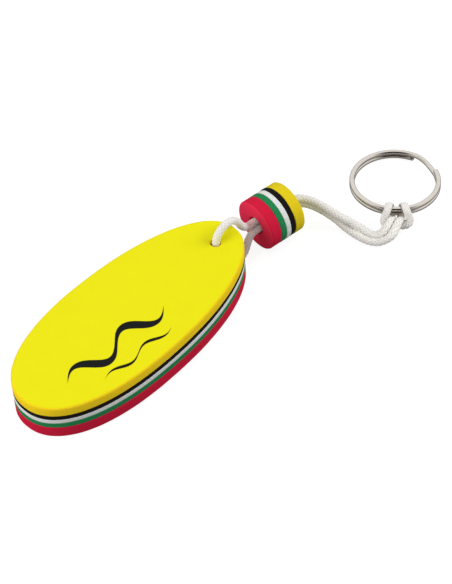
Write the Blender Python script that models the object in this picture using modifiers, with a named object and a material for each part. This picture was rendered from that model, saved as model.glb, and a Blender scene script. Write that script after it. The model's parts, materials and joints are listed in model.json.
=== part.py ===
"""Floating keychain: a five-colour foam float, a foam bead and a split ring on one doubled cord.

Units are metres, +Z is up and the keychain lies on the plane z = 0. +X runs from the float
towards the ring. The origin lies on that plane, under the middle of the foam and ring together.
"""
import math

import bmesh
import bpy
from mathutils import Euler, Vector

MM = 0.001

# Foam laminate: thickness of each sheet, from the underside of the float to its printed top
RED_SHEET = 0.0040
GREEN_SHEET = 0.0018
WHITE_SHEET = 0.00155
BLACK_SHEET = 0.0016
YELLOW_SHEET = 0.00335
GLUE_LINE = 0.0003

# Float: a superellipse, where an exponent of 2 would be a plain ellipse. Its taper is the share
# of the width by which the tip at the hole is narrower, and the other one wider.
FLOAT_LENGTH = 0.0763
FLOAT_WIDTH = 0.0327
FLOAT_EXPONENT = 2.2
FLOAT_TAPER = 0.078
FLOAT_EDGE_ROUND = 0.0010
FLOAT_UNDER_ROUND = 0.0004
FLOAT_OUTLINE_POINTS = 96
HOLE_SETBACK = 0.00715
HOLE_MOUTH_ROUND = 0.0010

# Bead, lying on its side with its red face towards the float. Its red sheet is trimmed thinner.
BEAD_DIAMETER = 0.0147
BEAD_RED_SHEET = 0.0031
BEAD_EDGE_ROUND = 0.0006
BEAD_X = 0.0516
BEAD_Y = 0.00015
BEAD_YAW = math.radians(-6.0)
BEAD_SIDES = 64

# Cord, and the room that it has in the float's hole and in the bead's bore
CORD_DIAMETER = 0.0022
STRAND_GAP = 0.00006
HOLE_CLEARANCE = 0.0005
BORE_CLEARANCE = 0.0004
FLOOR_CLEARANCE = 0.00006

# Split ring: one flat wire wound into two turns
RING_DIAMETER = 0.0250
WIRE_WIDTH = 0.0014
WIRE_HEIGHT = 0.0012
WIRE_EDGE_ROUND = 0.0003
TURN_GAP = 0.0001
STEP_START = math.radians(112.0)
STEP_SWEEP = math.radians(38.0)
END_GAP = math.radians(2.0)
WIRE_POINT_ANGLE = math.radians(7.0)

# Where the cord is hitched to the ring, measured from the middle of the float
HITCH_X = 0.0784
HITCH_Y = -0.0212
HITCH_BEARING = math.radians(-136.0)
LOOP_CLEARANCE = 0.00056

# Middle of the float, seen from above
FLOAT_CENTRE = Vector((-0.0304, 0.0046, 0.0))

# Derived sizes
LAMINATE = (
    ("base_sheet", RED_SHEET, "foam_red"),
    ("green_sheet", GREEN_SHEET, "foam_green"),
    ("white_sheet", WHITE_SHEET, "foam_white"),
    ("black_sheet", BLACK_SHEET, "foam_black"),
    ("top_sheet", YELLOW_SHEET, "foam_yellow"),
)
LAMINATE_THICKNESS = sum(thickness for _, thickness, _ in LAMINATE)
CORD_RADIUS = CORD_DIAMETER / 2
HOLE_RADIUS = CORD_RADIUS + HOLE_CLEARANCE
HOLE_X = FLOAT_LENGTH / 2 - HOLE_SETBACK
BORE_RADIUS = CORD_DIAMETER + STRAND_GAP / 2 + BORE_CLEARANCE
BEAD_RADIUS = BEAD_DIAMETER / 2
STRAND_OFFSET = (CORD_DIAMETER + STRAND_GAP) / 2

# The float's near end rests on the ground and its hole end on the strand that passes under it
FLOAT_LIFT = CORD_DIAMETER + FLOOR_CLEARANCE + GLUE_LINE
FLOAT_TILT = math.asin(FLOAT_LIFT / (HOLE_X + FLOAT_LENGTH / 2))

# The wire's own outline, and the circle that its corners sweep as the ring swings
STACK_HEIGHT = 2 * WIRE_HEIGHT + TURN_GAP
RING_RADIUS = (RING_DIAMETER - WIRE_WIDTH) / 2
WIRE_REACH = WIRE_EDGE_ROUND + math.hypot(
    WIRE_WIDTH / 2 - WIRE_EDGE_ROUND, STACK_HEIGHT / 2 - WIRE_EDGE_ROUND)

# The hitch holds the ring's near side one cord above the ground, and its far side rests there
HITCH_HEIGHT = WIRE_REACH + LOOP_CLEARANCE + CORD_DIAMETER + FLOOR_CLEARANCE
FAR_REACH = 2 * RING_RADIUS + WIRE_WIDTH / 2
RING_TILT = (math.asin(HITCH_HEIGHT / math.hypot(FAR_REACH, STACK_HEIGHT / 2))
             - math.atan2(STACK_HEIGHT / 2, FAR_REACH))

# Cord route in millimetres from the middle of the float, chosen by hand.
# It starts half way down the float's hole, rises out of the top and drops to the bead.
ROUTE_OVER = (
    (30.70, 0.00, 8.60),
    (30.60, 0.00, 11.40),
    (30.75, 0.00, 14.40),
    (31.65, 0.00, 16.85),
    (33.85, 0.00, 18.30),
    (36.60, 0.05, 18.00),
    (38.80, 0.15, 15.85),
    (40.20, 0.35, 13.20),
    (41.70, 0.75, 10.85),
    (43.05, 1.05, 9.35),
    (44.30, 1.30, 8.58),
)

# Middle of the doubled run from the bead's bore to the ring, and how far the pair has rolled:
# 90 degrees has one strand on top of the other, and 0 has them side by side.
ROUTE_PAIR = (
    (45.75, 0.77, 7.35, 55),
    (47.20, 0.62, 7.35, 56),
    (50.00, 0.32, 7.35, 64),
    (54.60, -0.17, 7.35, 80),
    (57.60, -0.48, 7.36, 88),
    (60.30, -1.30, 7.50, 92),
    (62.70, -3.30, 6.65, 96),
    (64.60, -6.50, 5.20, 98),
    (65.95, -10.10, 3.60, 94),
    (66.85, -13.85, 2.38, 66),
    (67.55, -17.55, 1.70, 24),
    (68.30, -20.80, 1.25, 0),
    (69.45, -23.10, 1.70, 0),
    (71.60, -24.65, 3.25, 0),
    (74.65, -24.35, 3.90, 0),
)

# One half of the hitch: across the ring's wire, outwards from the ring, and up, from the wire
ROUTE_HITCH = (
    (1.13, 3.05, -1.05),
    (1.15, 1.85, -2.40),
    (1.20, 0.95, -2.88),
    (1.25, -0.20, -3.00),
    (1.35, -1.85, -2.45),
    (1.60, -2.95, -0.60),
    (1.85, -2.75, 1.20),
    (2.10, -1.45, 2.65),
    (2.30, 0.40, 3.00),
    (2.65, 2.00, 2.35),
    (3.15, 3.20, 0.80),
    (3.50, 3.80, -0.70),
    (3.10, 4.45, -2.05),
    (1.70, 4.75, -2.75),
)

# From the bead's bore down to the ground, under the float's tip and up into its hole
ROUTE_UNDER = (
    (44.15, 0.10, 6.27),
    (43.05, -0.03, 5.43),
    (42.15, -0.18, 4.15),
    (41.30, -0.35, 2.65),
    (40.15, -0.45, 1.55),
    (38.20, -0.45, 1.18),
    (36.40, -0.35, 1.16),
    (34.00, -0.10, 1.16),
    (32.15, 0.00, 1.57),
    (31.12, 0.00, 3.10),
    (30.90, 0.00, 5.40),
    (30.80, 0.00, 8.20),
)
CORD_TURN_PER_POINT = math.radians(26.0)
CORD_LONGEST_STEP = 2.5 * CORD_DIAMETER
ROUTE_FINENESS = 24

# Colour, roughness and metallic value of each finish
FINISHES = {
    "foam_red": ((0.62, 0.02, 0.08), 0.75, 0.0),
    "foam_green": ((0.02, 0.24, 0.08), 0.75, 0.0),
    "foam_white": ((0.80, 0.82, 0.80), 0.75, 0.0),
    "foam_black": ((0.010, 0.008, 0.008), 0.70, 0.0),
    "foam_yellow": ((0.88, 0.79, 0.01), 0.65, 0.0),
    "nickel": ((0.62, 0.60, 0.57), 0.18, 1.0),
    "cord_white": ((0.82, 0.80, 0.76), 0.80, 0.0),
}


def clear_scene():
    """Remove whatever the scene holds."""
    for item in list(bpy.data.objects):
        bpy.data.objects.remove(item, do_unlink=True)


def new_collection(name):
    """Make a collection under the scene's own."""
    collection = bpy.data.collections.new(name)
    bpy.context.scene.collection.children.link(collection)
    return collection


def finish(name):
    """Return the material of that name, made once."""
    if name in bpy.data.materials:
        return bpy.data.materials[name]
    colour, roughness, metallic = FINISHES[name]
    material = bpy.data.materials.new(name)
    material.use_nodes = True
    shader = material.node_tree.nodes["Principled BSDF"]
    shader.inputs["Base Color"].default_value = (*colour, 1.0)
    shader.inputs["Roughness"].default_value = roughness
    shader.inputs["Metallic"].default_value = metallic
    return material


def new_object(name, data, collection, material=None, parent=None):
    """Link an object with one material, placed from its parent."""
    item = bpy.data.objects.new(name, data)
    collection.objects.link(item)
    item.parent = parent
    if material:
        data.materials.append(finish(material))
    return item


def new_empty(name, collection, location, rotation):
    """Make an empty that carries the pieces of one group."""
    empty = new_object(name, None, collection)
    empty.location = location
    empty.rotation_euler = rotation
    return empty


def mark_as_guide(item):
    """Show a guide or a cutter as wire and keep it out of renders."""
    item.display_type = "WIRE"
    item.hide_render = True


def add_loop(curve, points):
    """Add one closed outline of straight runs to a curve."""
    spline = curve.splines.new("POLY")
    spline.points.add(len(points) - 1)
    for point, place in zip(spline.points, points):
        point.co = (*place, 1.0)
    spline.use_cyclic_u = True


def signed_power(value, exponent):
    """Raise a value's size to a power and keep its sign."""
    return math.copysign(abs(value) ** exponent, value)


def superellipse(length, width, exponent, taper, count):
    """Points of a superellipse, from its tip at +X, which the taper narrows."""
    points = []
    for index in range(count):
        angle = 2 * math.pi * index / count
        x = length / 2 * signed_power(math.cos(angle), 2 / exponent)
        y = width / 2 * signed_power(math.sin(angle), 2 / exponent) * (1 - taper * 2 * x / length)
        points.append((x, y, 0.0))
    return points


def sheet_spans():
    """Give each sheet of the laminate with its lower and upper height, less the glue line."""
    height = 0.0
    for name, thickness, material in LAMINATE:
        top = height + thickness
        is_last = name == LAMINATE[-1][0]
        yield name, height, top if is_last else top - GLUE_LINE, material
        height = top


def curve_to_mesh(curve_object, collection):
    """Turn a curve object into a welded mesh object and remove the curve."""
    bpy.context.view_layer.update()
    evaluated = curve_object.evaluated_get(bpy.context.evaluated_depsgraph_get())
    mesh = bpy.data.meshes.new_from_object(evaluated)
    work = bmesh.new()
    work.from_mesh(mesh)
    bmesh.ops.remove_doubles(work, verts=work.verts, dist=1e-6)
    work.to_mesh(mesh)
    work.free()
    name, matrix, parent = curve_object.name, curve_object.matrix_world.copy(), curve_object.parent
    bpy.data.objects.remove(curve_object, do_unlink=True)
    item = bpy.data.objects.new(name, mesh)
    collection.objects.link(item)
    item.parent = parent
    item.matrix_world = matrix
    return item


def round_rim(item, height, inner, radius, segments):
    """Round the outer edge, or the hole's edge, of a flat sheet at one height."""
    work = bmesh.new()
    work.from_mesh(item.data)
    rim_limit = HOLE_RADIUS * 1.5
    edges = []
    for edge in work.edges:
        ends = [vertex.co for vertex in edge.verts]
        at_height = all(abs(co.z - height) < 1e-6 for co in ends)
        round_hole = all((co.xy - Vector((HOLE_X, 0))).length < rim_limit for co in ends)
        if at_height and round_hole == inner and edge.is_manifold and edge.calc_face_angle() > 0.5:
            edges.append(edge)
    bmesh.ops.bevel(work, geom=edges, offset=radius, segments=segments, affect="EDGES",
                    profile=0.5, clamp_overlap=False)
    work.to_mesh(item.data)
    work.free()


def make_float(collection):
    """Build the float's five sheets with the cord hole through them."""
    near_end = FLOAT_CENTRE - Vector((FLOAT_LENGTH / 2, 0, 0))
    seat = new_empty("float_seat", collection, near_end, Euler((0, -FLOAT_TILT, 0)))
    outline = superellipse(FLOAT_LENGTH, FLOAT_WIDTH, FLOAT_EXPONENT, FLOAT_TAPER,
                           FLOAT_OUTLINE_POINTS)
    circle = superellipse(2 * HOLE_RADIUS, 2 * HOLE_RADIUS, 2, 0, 24)
    hole = [(HOLE_X + x, y, 0.0) for x, y, _ in circle]
    for name, low, high, material in sheet_spans():
        curve = bpy.data.curves.new("float_" + name, "CURVE")
        curve.dimensions = "2D"
        curve.fill_mode = "BOTH"
        curve.extrude = (high - low) / 2
        add_loop(curve, outline)
        add_loop(curve, hole)
        sheet = new_object(curve.name, curve, collection, material, seat)
        sheet.location = (FLOAT_LENGTH / 2, 0, (high + low) / 2)
        sheet = curve_to_mesh(sheet, collection)
        half = (high - low) / 2
        if name == LAMINATE[0][0]:
            round_rim(sheet, -half, False, FLOAT_UNDER_ROUND, 3)
            round_rim(sheet, -half, True, HOLE_MOUTH_ROUND, 3)
        if name == LAMINATE[-1][0]:
            round_rim(sheet, half, False, FLOAT_EDGE_ROUND, 3)
            round_rim(sheet, half, True, HOLE_MOUTH_ROUND, 3)


def quarter_arc(centre, radius, start, steps):
    """Points of a quarter circle turning clockwise in the XZ plane."""
    points = []
    for index in range(steps + 1):
        angle = start - math.pi / 2 * index / steps
        points.append((centre[0] + radius * math.cos(angle), centre[1] + radius * math.sin(angle)))
    return points


def bead_profile(low, high, round_low, round_high):
    """Section of one bead ring: down its outer side, in, and up the bore."""
    outer, round_by = BEAD_RADIUS, BEAD_EDGE_ROUND
    profile = [(outer, high)]
    if round_high:
        profile = quarter_arc((outer - round_by, high - round_by), round_by, math.pi / 2, 3)
    if round_low:
        profile += quarter_arc((outer - round_by, low + round_by), round_by, 0.0, 3)
    else:
        profile.append((outer, low))
    return profile + [(BORE_RADIUS, low), (BORE_RADIUS, high)]


def make_bead(collection):
    """Turn the bead's five rings about its bore, which lies along X."""
    place = FLOAT_CENTRE + Vector((BEAD_X, BEAD_Y, BEAD_RADIUS))
    axle = new_empty("bead_axis", collection, place, Euler((0, math.pi / 2, BEAD_YAW)))
    for name, low, high, material in sheet_spans():
        is_first, is_last = name == LAMINATE[0][0], name == LAMINATE[-1][0]
        if is_first:
            low = RED_SHEET - BEAD_RED_SHEET
        profile = bead_profile(low, high, is_first, is_last)
        mesh = bpy.data.meshes.new("bead_" + name)
        count = len(profile)
        edges = [(index, (index + 1) % count) for index in range(count)]
        mesh.from_pydata([(x, 0, z - LAMINATE_THICKNESS / 2) for x, z in profile], edges, [])
        ring = new_object(mesh.name, mesh, collection, material, axle)
        turn = ring.modifiers.new("Turn", "SCREW")
        turn.steps = BEAD_SIDES
        turn.render_steps = BEAD_SIDES
        turn.use_merge_vertices = True
        turn.merge_threshold = 1e-6
        turn.use_smooth_shade = True


def ring_height(turned):
    """Height of the wire's middle after a turn: low, then up a smooth step, then high."""
    rise = WIRE_HEIGHT + TURN_GAP
    fraction = (turned - (2 * math.pi - STEP_SWEEP)) / STEP_SWEEP
    fraction = min(max(fraction, 0.0), 1.0)
    return -rise / 2 + rise * (3 * fraction ** 2 - 2 * fraction ** 3)


def make_wire_section(collection):
    """Draw the flat wire's section with rounded corners, as a guide for the sweep."""
    curve = bpy.data.curves.new("wire_section", "CURVE")
    curve.dimensions = "2D"
    corner_x, corner_y = WIRE_WIDTH / 2 - WIRE_EDGE_ROUND, WIRE_HEIGHT / 2 - WIRE_EDGE_ROUND
    points = []
    for quarter, (side_x, side_y) in enumerate(((1, -1), (-1, -1), (-1, 1), (1, 1))):
        for step in range(3):
            angle = -math.pi / 2 * (quarter + step / 2)
            x = side_x * corner_x + WIRE_EDGE_ROUND * math.cos(angle)
            y = side_y * corner_y + WIRE_EDGE_ROUND * math.sin(angle)
            points.append((x, y, 0.0))
    add_loop(curve, points)
    section = new_object("wire_section", curve, collection)
    mark_as_guide(section)
    return section


def make_ring(collection, section):
    """Sweep the wire through two turns, with the step that lets it cross over itself."""
    place = FLOAT_CENTRE + Vector((HITCH_X, HITCH_Y, HITCH_HEIGHT))
    hinge = new_empty("ring_hinge", collection, place, Euler((0, -RING_TILT, HITCH_BEARING)))
    curve = bpy.data.curves.new("split_ring", "CURVE")
    curve.dimensions = "3D"
    curve.twist_mode = "Z_UP"
    curve.bevel_mode = "OBJECT"
    curve.bevel_object = section
    curve.use_fill_caps = True
    sweep = 4 * math.pi - STEP_SWEEP - 2 * END_GAP
    count = round(sweep / WIRE_POINT_ANGLE)
    spline = curve.splines.new("POLY")
    spline.points.add(count)
    for index, point in enumerate(spline.points):
        turned = END_GAP + sweep * index / count
        angle = STEP_START + STEP_SWEEP + turned
        x, y = RING_RADIUS * math.cos(angle), RING_RADIUS * math.sin(angle)
        point.co = (x, y, ring_height(turned), 1.0)
    ring = new_object("split_ring", curve, collection, "nickel", hinge)
    ring.location = (-RING_RADIUS, 0, 0)


def pair_strands():
    """Split the doubled run into its two strands, in millimetres."""
    centres = [Vector(row[:3]) for row in ROUTE_PAIR]
    wire = Vector((HITCH_X, HITCH_Y, 0)) / MM + Vector((0, 0, centres[-1].z))
    neighbours = [2 * centres[0] - centres[1]] + centres + [wire]
    strands = ([], [])
    for index, row in enumerate(ROUTE_PAIR):
        along = (neighbours[index + 2] - neighbours[index]).normalized()
        side = Vector((0, 0, 1)).cross(along).normalized()
        up = along.cross(side)
        roll = math.radians(row[3])
        offset = (side * math.cos(roll) + up * math.sin(roll)) * STRAND_OFFSET / MM
        strands[0].append(centres[index] + offset)
        strands[1].append(centres[index] - offset)
    return strands


def hitch_points():
    """Place both halves of the hitch about the ring's wire, in millimetres."""
    outward = Vector((math.cos(HITCH_BEARING), math.sin(HITCH_BEARING), 0))
    across = Vector((0, 0, 1)).cross(outward)
    middle = Vector((HITCH_X, HITCH_Y, HITCH_HEIGHT)) / MM
    halves = []
    for side in (-1, 1):
        halves.append([middle + across * side * u + outward * w + Vector((0, 0, n))
                       for u, w, n in ROUTE_HITCH])
    return halves[0] + halves[1][::-1]


def cord_route():
    """The whole route in order, in metres from the middle of the float."""
    upper, lower = pair_strands()
    points = [Vector(point) for point in ROUTE_OVER] + upper
    points += hitch_points() + lower[::-1]
    points += [Vector(point) for point in ROUTE_UNDER]
    return [point * MM for point in points]


def blend(a, b, start, stop, at):
    """Mix two points in proportion to where a value lies between two knots."""
    return (a * (stop - at) + b * (at - start)) / (stop - start)


def smooth_curve(route):
    """Pass a smooth curve through the route's points: a centripetal spline, so no overshoot."""
    guarded = [2 * route[0] - route[1]] + route + [2 * route[-1] - route[-2]]
    curve = []
    for a, b, c, d in zip(guarded, guarded[1:], guarded[2:], guarded[3:]):
        k0 = 0.0
        k1 = k0 + math.sqrt((b - a).length)
        k2 = k1 + math.sqrt((c - b).length)
        k3 = k2 + math.sqrt((d - c).length)
        for step in range(ROUTE_FINENESS):
            at = k1 + (k2 - k1) * step / ROUTE_FINENESS
            ab = blend(a, b, k0, k1, at)
            bc = blend(b, c, k1, k2, at)
            cd = blend(c, d, k2, k3, at)
            early, late = blend(ab, bc, k0, k2, at), blend(bc, cd, k1, k3, at)
            curve.append(blend(early, late, k1, k2, at))
    curve.append(route[-1])
    return curve


def thin_out(curve):
    """Keep a point wherever the cord has turned or run far enough."""
    kept = [curve[0]]
    direction = (curve[1] - curve[0]).normalized()
    for before, point, after in zip(curve, curve[1:], curve[2:]):
        heading = (after - point).normalized()
        run = (point - kept[-1]).length
        if heading.angle(direction) > CORD_TURN_PER_POINT or run > CORD_LONGEST_STEP:
            kept.append(point)
            direction = heading
    kept.append(curve[-1])
    return kept


def make_cord(collection):
    """Sweep the one length of cord along its route."""
    curve = bpy.data.curves.new("cord", "CURVE")
    curve.dimensions = "3D"
    curve.bevel_depth = CORD_RADIUS
    curve.bevel_resolution = 2
    curve.use_fill_caps = True
    points = thin_out(smooth_curve(cord_route()))
    spline = curve.splines.new("POLY")
    spline.points.add(len(points) - 1)
    for point, place in zip(spline.points, points):
        point.co = (*place, 1.0)
    cord = new_object("cord", curve, collection, "cord_white")
    cord.location = FLOAT_CENTRE


def main():
    """Build the keychain."""
    clear_scene()
    keychain = new_collection("floating_keychain")
    guides = new_collection("guides")
    make_float(keychain)
    make_bead(keychain)
    make_ring(keychain, make_wire_section(guides))
    make_cord(keychain)


main()
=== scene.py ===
"""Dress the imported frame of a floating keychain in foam, braided cord and plated wire."""
import json
import math

import bmesh
import bpy
import numpy as np
from bpy.props import (FloatProperty, FloatVectorProperty, IntProperty, PointerProperty)
from mathutils import Euler, Matrix, Vector


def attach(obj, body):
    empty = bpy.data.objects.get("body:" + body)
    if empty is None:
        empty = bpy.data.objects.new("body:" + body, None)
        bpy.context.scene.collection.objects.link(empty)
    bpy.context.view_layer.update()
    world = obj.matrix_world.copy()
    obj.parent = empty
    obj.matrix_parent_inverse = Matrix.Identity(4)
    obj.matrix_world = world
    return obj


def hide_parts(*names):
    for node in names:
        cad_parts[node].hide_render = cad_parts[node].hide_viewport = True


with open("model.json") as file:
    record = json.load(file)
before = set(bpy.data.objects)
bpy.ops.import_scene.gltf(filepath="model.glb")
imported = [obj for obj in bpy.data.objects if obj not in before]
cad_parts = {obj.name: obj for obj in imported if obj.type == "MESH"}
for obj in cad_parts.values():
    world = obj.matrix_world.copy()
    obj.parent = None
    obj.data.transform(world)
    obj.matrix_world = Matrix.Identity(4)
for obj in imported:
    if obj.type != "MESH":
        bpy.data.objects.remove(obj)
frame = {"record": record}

bl_info = {
    "name": "Floating Keychain",
    "version": (1, 0, 0),
    "blender": (4, 5, 0),
    "location": "View3D > Sidebar > Keychain",
    "description": "Dresses the frame of a floating keychain and sets up its studio",
    "category": "Object",
}

# Where the groups of pieces stand in the frame, in metres and radians
FLOAT_NEAR_END = Vector((-0.06855, 0.0046, 0.0))
FLOAT_TILT = 0.037029
BEAD_PLACE = Vector((0.0212, 0.00475, 0.00735))
BEAD_YAW = math.radians(-6.0)
HITCH_PLACE = Vector((0.0480, -0.0166, 0.004151))
HITCH_BEARING = math.radians(-136.0)
RING_TILT = 0.120032

# How the cord's loops are drawn in on the wire: radius inside them, what it loses, what share of
# the cord's thickness is left, how far this reaches, and how far round below the loops it ends
HITCH_INSIDE = 0.00199
HITCH_TAKE_UP = 0.00036
HITCH_SQUEEZE = 0.38
HITCH_REACH = 0.0045
BEARING_FROM = 0.6

# The float's hole and the bead's bore, the rounding of their mouths, the spread of the dish round
# the hole, what the bead's red sheet lacks, and the air on each side of a glue line
HOLE_X = 0.0310
HOLE_RADIUS = 0.00132
HOLE_MOUTH = 0.0005
BORE_RADIUS = 0.00242
BORE_MOUTH = 0.0003
DISH_REACH = 0.0024
BEAD_TRIM = 0.0009
GLUE_AIR = 0.00001

# The ring's step between its turns, the gap at its ends, and their rounding: how far from the end
# the wire has shrunk to which share of its section
STEP_START = math.radians(112.0)
STEP_SWEEP = math.radians(38.0)
END_GAP = math.radians(2.0)
WIRE_ENDS = ((0.0, 0.55), (0.00012, 0.82), (0.0003, 0.97))

# Fineness of the meshes, and how far from a hole the rings of points on a face lie
FLOAT_POINTS = 320
BEAD_POINTS = 160
FLOAT_FACE = (0, 0.0003, 0.0006, 0.001, 0.0015, 0.0021, 0.0029, 0.004, 0.007, 0.013, 0.024,
              0.04, 0.07)
BEAD_FACE = (0, 0.0003, 0.0007, 0.0013, 0.0025, 0.004)
SPLINE_STEPS = 24
CORD_STEP = 0.00016
CORD_POINTS = 48
WIRE_RINGS = 420
CORNER_POINTS = 6
FLOAT_SEED = 11
BEAD_SEED = 31

# Maps run round a tube and along it: picks of the braid, and length of wire, in one unit of V
PICKS_PER_UNIT = 100.0
WIRE_PER_UNIT = 0.025

# Foam's mottle and the painted shade in its pores, plain shades, the print's colour and how far
# below the top it still shows
TOP_MOTTLE_AND_PORE_SHADE = 0.10
CUT_MOTTLE_AND_PORE_SHADE = 0.2
NO_TINT = (1.0, 1.0, 1.0)
WHITE = (1.0, 1.0, 1.0, 1.0)
PRINT_INK = (0.006, 0.006, 0.006, 1.0)
PRINT_DEPTH = 0.0004

# Studio: lamps, floor, and the directions of the dim room and of the bright sides beside it
KEY_PLACE = (-0.68, 0.22, 0.37)
KEY_SIZE = 0.60
FILL_PLACE = (0.58, -0.34, 0.46)
FILL_SIZE = 0.50
FLOOR_HALF = 3.0
FLOOR_DROP = 0.00002
ROOM_SIDE = (-0.69, -0.72, 0.0)
BRIGHT_SIDES = (0.72, -0.69, 0.0)
CAMERA_TARGET = Vector((-0.001786, -0.000875, 0.0002))
SENSOR_WIDTH = 36.0

# Layers of the foam from the red underside to the printed top: record slot and thickness
LAYERS = (
    ("base_sheet", "foam_red", 0.0040),
    ("green_sheet", "foam_green", 0.0018),
    ("white_sheet", "foam_white", 0.00155),
    ("black_sheet", "foam_black", 0.0016),
    ("top_sheet", "foam_yellow", 0.00335),
)
THICKNESS = sum(layer[2] for layer in LAYERS)

# Points of the cord's route, from inside the float's hole out of its top and round to it again
CORD_ROUTE = (
    (0.00030, 0.00460, 0.00860), (0.00020, 0.00460, 0.01140), (0.00035, 0.00460, 0.01440),
    (0.00125, 0.00460, 0.01685), (0.00345, 0.00460, 0.01830), (0.00620, 0.00465, 0.01800),
    (0.00840, 0.00475, 0.01585), (0.00980, 0.00495, 0.01320), (0.01130, 0.00535, 0.01085),
    (0.01265, 0.00565, 0.00935), (0.01390, 0.00590, 0.00858), (0.01542, 0.00601, 0.00828),
    (0.01687, 0.00585, 0.00829), (0.01965, 0.00541, 0.00837), (0.02422, 0.00463, 0.00846),
    (0.02718, 0.00416, 0.00849), (0.03000, 0.00320, 0.00862), (0.03244, 0.00095, 0.00771),
    (0.03424, -0.00235, 0.00624), (0.03559, -0.00589, 0.00466), (0.03695, -0.00940, 0.00338),
    (0.03818, -0.01281, 0.00215), (0.03897, -0.01583, 0.00125), (0.03991, -0.01776, 0.00170),
    (0.04146, -0.01895, 0.00325), (0.04374, -0.01874, 0.00390), (0.04502, -0.01791, 0.00310),
    (0.04587, -0.01706, 0.00175), (0.04648, -0.01640, 0.00127), (0.04728, -0.01556, 0.00115),
    (0.04839, -0.01434, 0.00170), (0.04901, -0.01340, 0.00355), (0.04869, -0.01336, 0.00535),
    (0.04758, -0.01408, 0.00680), (0.04611, -0.01522, 0.00715), (0.04472, -0.01608, 0.00650),
    (0.04351, -0.01656, 0.00495), (0.04284, -0.01672, 0.00345), (0.04265, -0.01746, 0.00210),
    (0.04340, -0.01868, 0.00140), (0.04576, -0.02112, 0.00140), (0.04695, -0.02192, 0.00210),
    (0.04770, -0.02176, 0.00345), (0.04789, -0.02109, 0.00495), (0.04840, -0.01990, 0.00650),
    (0.04931, -0.01853, 0.00715), (0.05050, -0.01710, 0.00680), (0.05126, -0.01602, 0.00535),
    (0.05123, -0.01570, 0.00355), (0.05027, -0.01629, 0.00170), (0.04901, -0.01736, 0.00115),
    (0.04815, -0.01812, 0.00127), (0.04747, -0.01871, 0.00175), (0.04659, -0.01953, 0.00310),
    (0.04476, -0.02076, 0.00390), (0.04094, -0.02115, 0.00325), (0.03819, -0.01924, 0.00170),
    (0.03683, -0.01657, 0.00125), (0.03612, -0.01309, 0.00125), (0.03595, -0.00910, 0.00138),
    (0.03551, -0.00511, 0.00254), (0.03416, -0.00145, 0.00416), (0.03216, 0.00165, 0.00559),
    (0.02980, 0.00340, 0.00638), (0.02722, 0.00408, 0.00623), (0.02418, 0.00423, 0.00624),
    (0.01955, 0.00443, 0.00633), (0.01673, 0.00459, 0.00641), (0.01528, 0.00473, 0.00642),
    (0.01375, 0.00470, 0.00627), (0.01265, 0.00457, 0.00543), (0.01175, 0.00442, 0.00415),
    (0.01090, 0.00425, 0.00265), (0.00975, 0.00415, 0.00155), (0.00780, 0.00415, 0.00118),
    (0.00600, 0.00425, 0.00116), (0.00360, 0.00450, 0.00116), (0.00175, 0.00460, 0.00157),
    (0.00072, 0.00460, 0.00310), (0.00050, 0.00460, 0.00540), (0.00040, 0.00460, 0.00820),
)

# Printed waves on the float's top: middle, length, wavelength, rise and weight of the stroke
PRINT_WAVES = (
    (-0.0100, -0.0050, 0.0340, 0.0170, 0.0026, 0.00150),
    (-0.0080, -0.0112, 0.0240, 0.0120, 0.0010, 0.00060),
)


def slot_colour(name):
    """The record's colour for a material slot."""
    for material in frame["record"]["materials"]:
        if material["slot"] == name:
            return tuple(material["base_color"][:3])
    raise ValueError("the record has no material slot named " + name)


def colour_property(label, description, default, highest=1.0):
    """A colour setting."""
    return FloatVectorProperty(name=label, description=description, subtype="COLOR", size=3,
                               min=0.0, max=highest, default=default)


def tint_property(label, description, default):
    """A shade that the layer's colour is multiplied by, so it may pass 1."""
    return colour_property(label, description, default, highest=4.0)


def angle_property(label, description, degrees):
    """An angle setting."""
    return FloatProperty(name=label, description=description, subtype="ANGLE", unit="ROTATION",
                         default=math.radians(degrees))


def power_property(label, description, default):
    """A lamp's power in watts."""
    return FloatProperty(name=label, description=description, subtype="POWER", unit="POWER",
                         min=0.0, default=default)


def length_property(label, description, default):
    """A length setting in metres."""
    return FloatProperty(name=label, description=description, subtype="DISTANCE", unit="LENGTH",
                         min=0.0, precision=5, default=default)


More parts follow.
